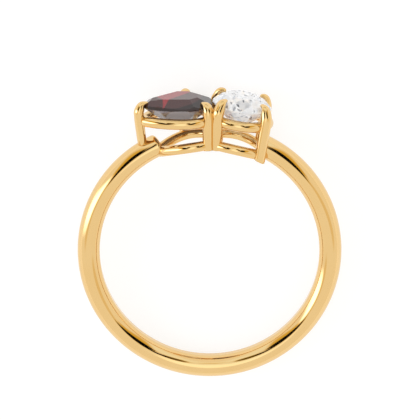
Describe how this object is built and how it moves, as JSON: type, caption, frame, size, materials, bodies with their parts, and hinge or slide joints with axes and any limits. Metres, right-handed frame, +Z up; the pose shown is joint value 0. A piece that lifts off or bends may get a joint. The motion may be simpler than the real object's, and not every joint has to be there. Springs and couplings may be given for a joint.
{
  "type": "toi et moi ring",
  "caption": "Finger ring with a pear-shaped and a round stone side by side, each in an open claw basket on a round wire shank.",
  "frame": {"origin": "centre of the finger hole, in the middle of the shank's width", "axes": "The ring lies on its side as it rests: Z is up and 5.6 degrees off the finger's axis, the stones are towards +Y, the round stone towards +X and the pear-shaped stone towards -X"},
  "size_m": [0.0208, 0.0233, 0.0058],
  "materials": {
    "gold": "polished",
    "garnet": "polished facets",
    "diamond": "polished facets"
  },
  "bodies": {
    "root": {"hoop_and_settings": "gold", "pear_garnet": "garnet", "round_diamond": "diamond"}
  },
  "joints": []
}
